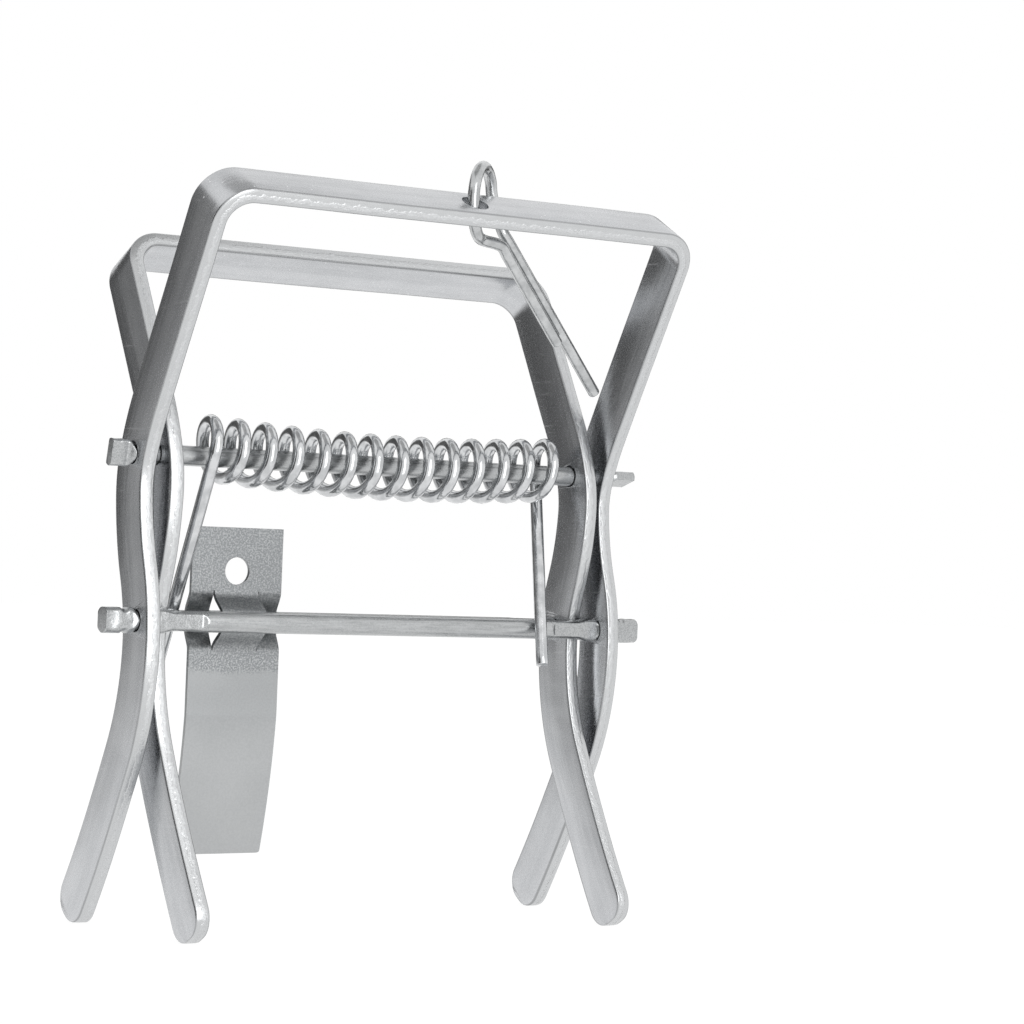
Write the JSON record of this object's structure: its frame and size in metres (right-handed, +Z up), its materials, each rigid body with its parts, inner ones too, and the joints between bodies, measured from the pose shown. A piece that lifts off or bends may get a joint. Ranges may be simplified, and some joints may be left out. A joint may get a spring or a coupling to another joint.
{
  "type": "scissor mole trap",
  "caption": "Scissor-action mole trap of bent flat steel: crossed spring-closed jaws on a pivot rod, a hanging trigger plate and a wire catch on the handle.",
  "frame": {"origin": "middle of the trap's outline in X and Y, at the level of the jaw tips it stands on", "axes": "+Z up from the tips to the handles, +X along the rods to the right, +Y to the back, where the inner jaw's handle stands"},
  "size_m": [0.1596, 0.073, 0.1943],
  "materials": {
    "jaw_steel": "bright zinc plating with fine spangle",
    "rod_steel": "bright zinc plating, hammered ends",
    "spring_steel": "bright plated spring wire",
    "plate_steel": "zinc plated sheet, spangled",
    "wire_steel": "bright plated wire"
  },
  "bodies": {
    "outer_jaw": {"outer_frame": "jaw_steel", "outer_rod": "rod_steel", "pivot_rod": "rod_steel", "torsion_spring": "spring_steel"},
    "inner_jaw": {"inner_frame": "jaw_steel", "inner_rod": "rod_steel"},
    "trigger": {"trigger_plate": "plate_steel"},
    "catch": {"catch_wire": "wire_steel"}
  },
  "joints": [
    {"name": "handle_squeeze", "type": "hinge", "parent": "outer_jaw", "child": "inner_jaw", "pos_m": [0, 0.00337, 0.11714], "axis": [1, 0, 0], "range_deg": [0, 38], "stiffness_Nm_per_rad": 1.3, "springref_deg": -57.3, "deforming": ["torsion_spring"]},
    {"name": "trigger_swing", "type": "hinge", "parent": "inner_jaw", "child": "trigger", "pos_m": [-0.0377, 0.00827, 0.07649], "axis": [1, 0, 0], "range_deg": [-20, 60]},
    {"name": "catch_swing", "type": "hinge", "parent": "outer_jaw", "child": "catch", "pos_m": [0.0039, -0.02531, 0.18317], "axis": [0.9752, 0.2213, 0], "range_deg": [-8, 20]}
  ]
}
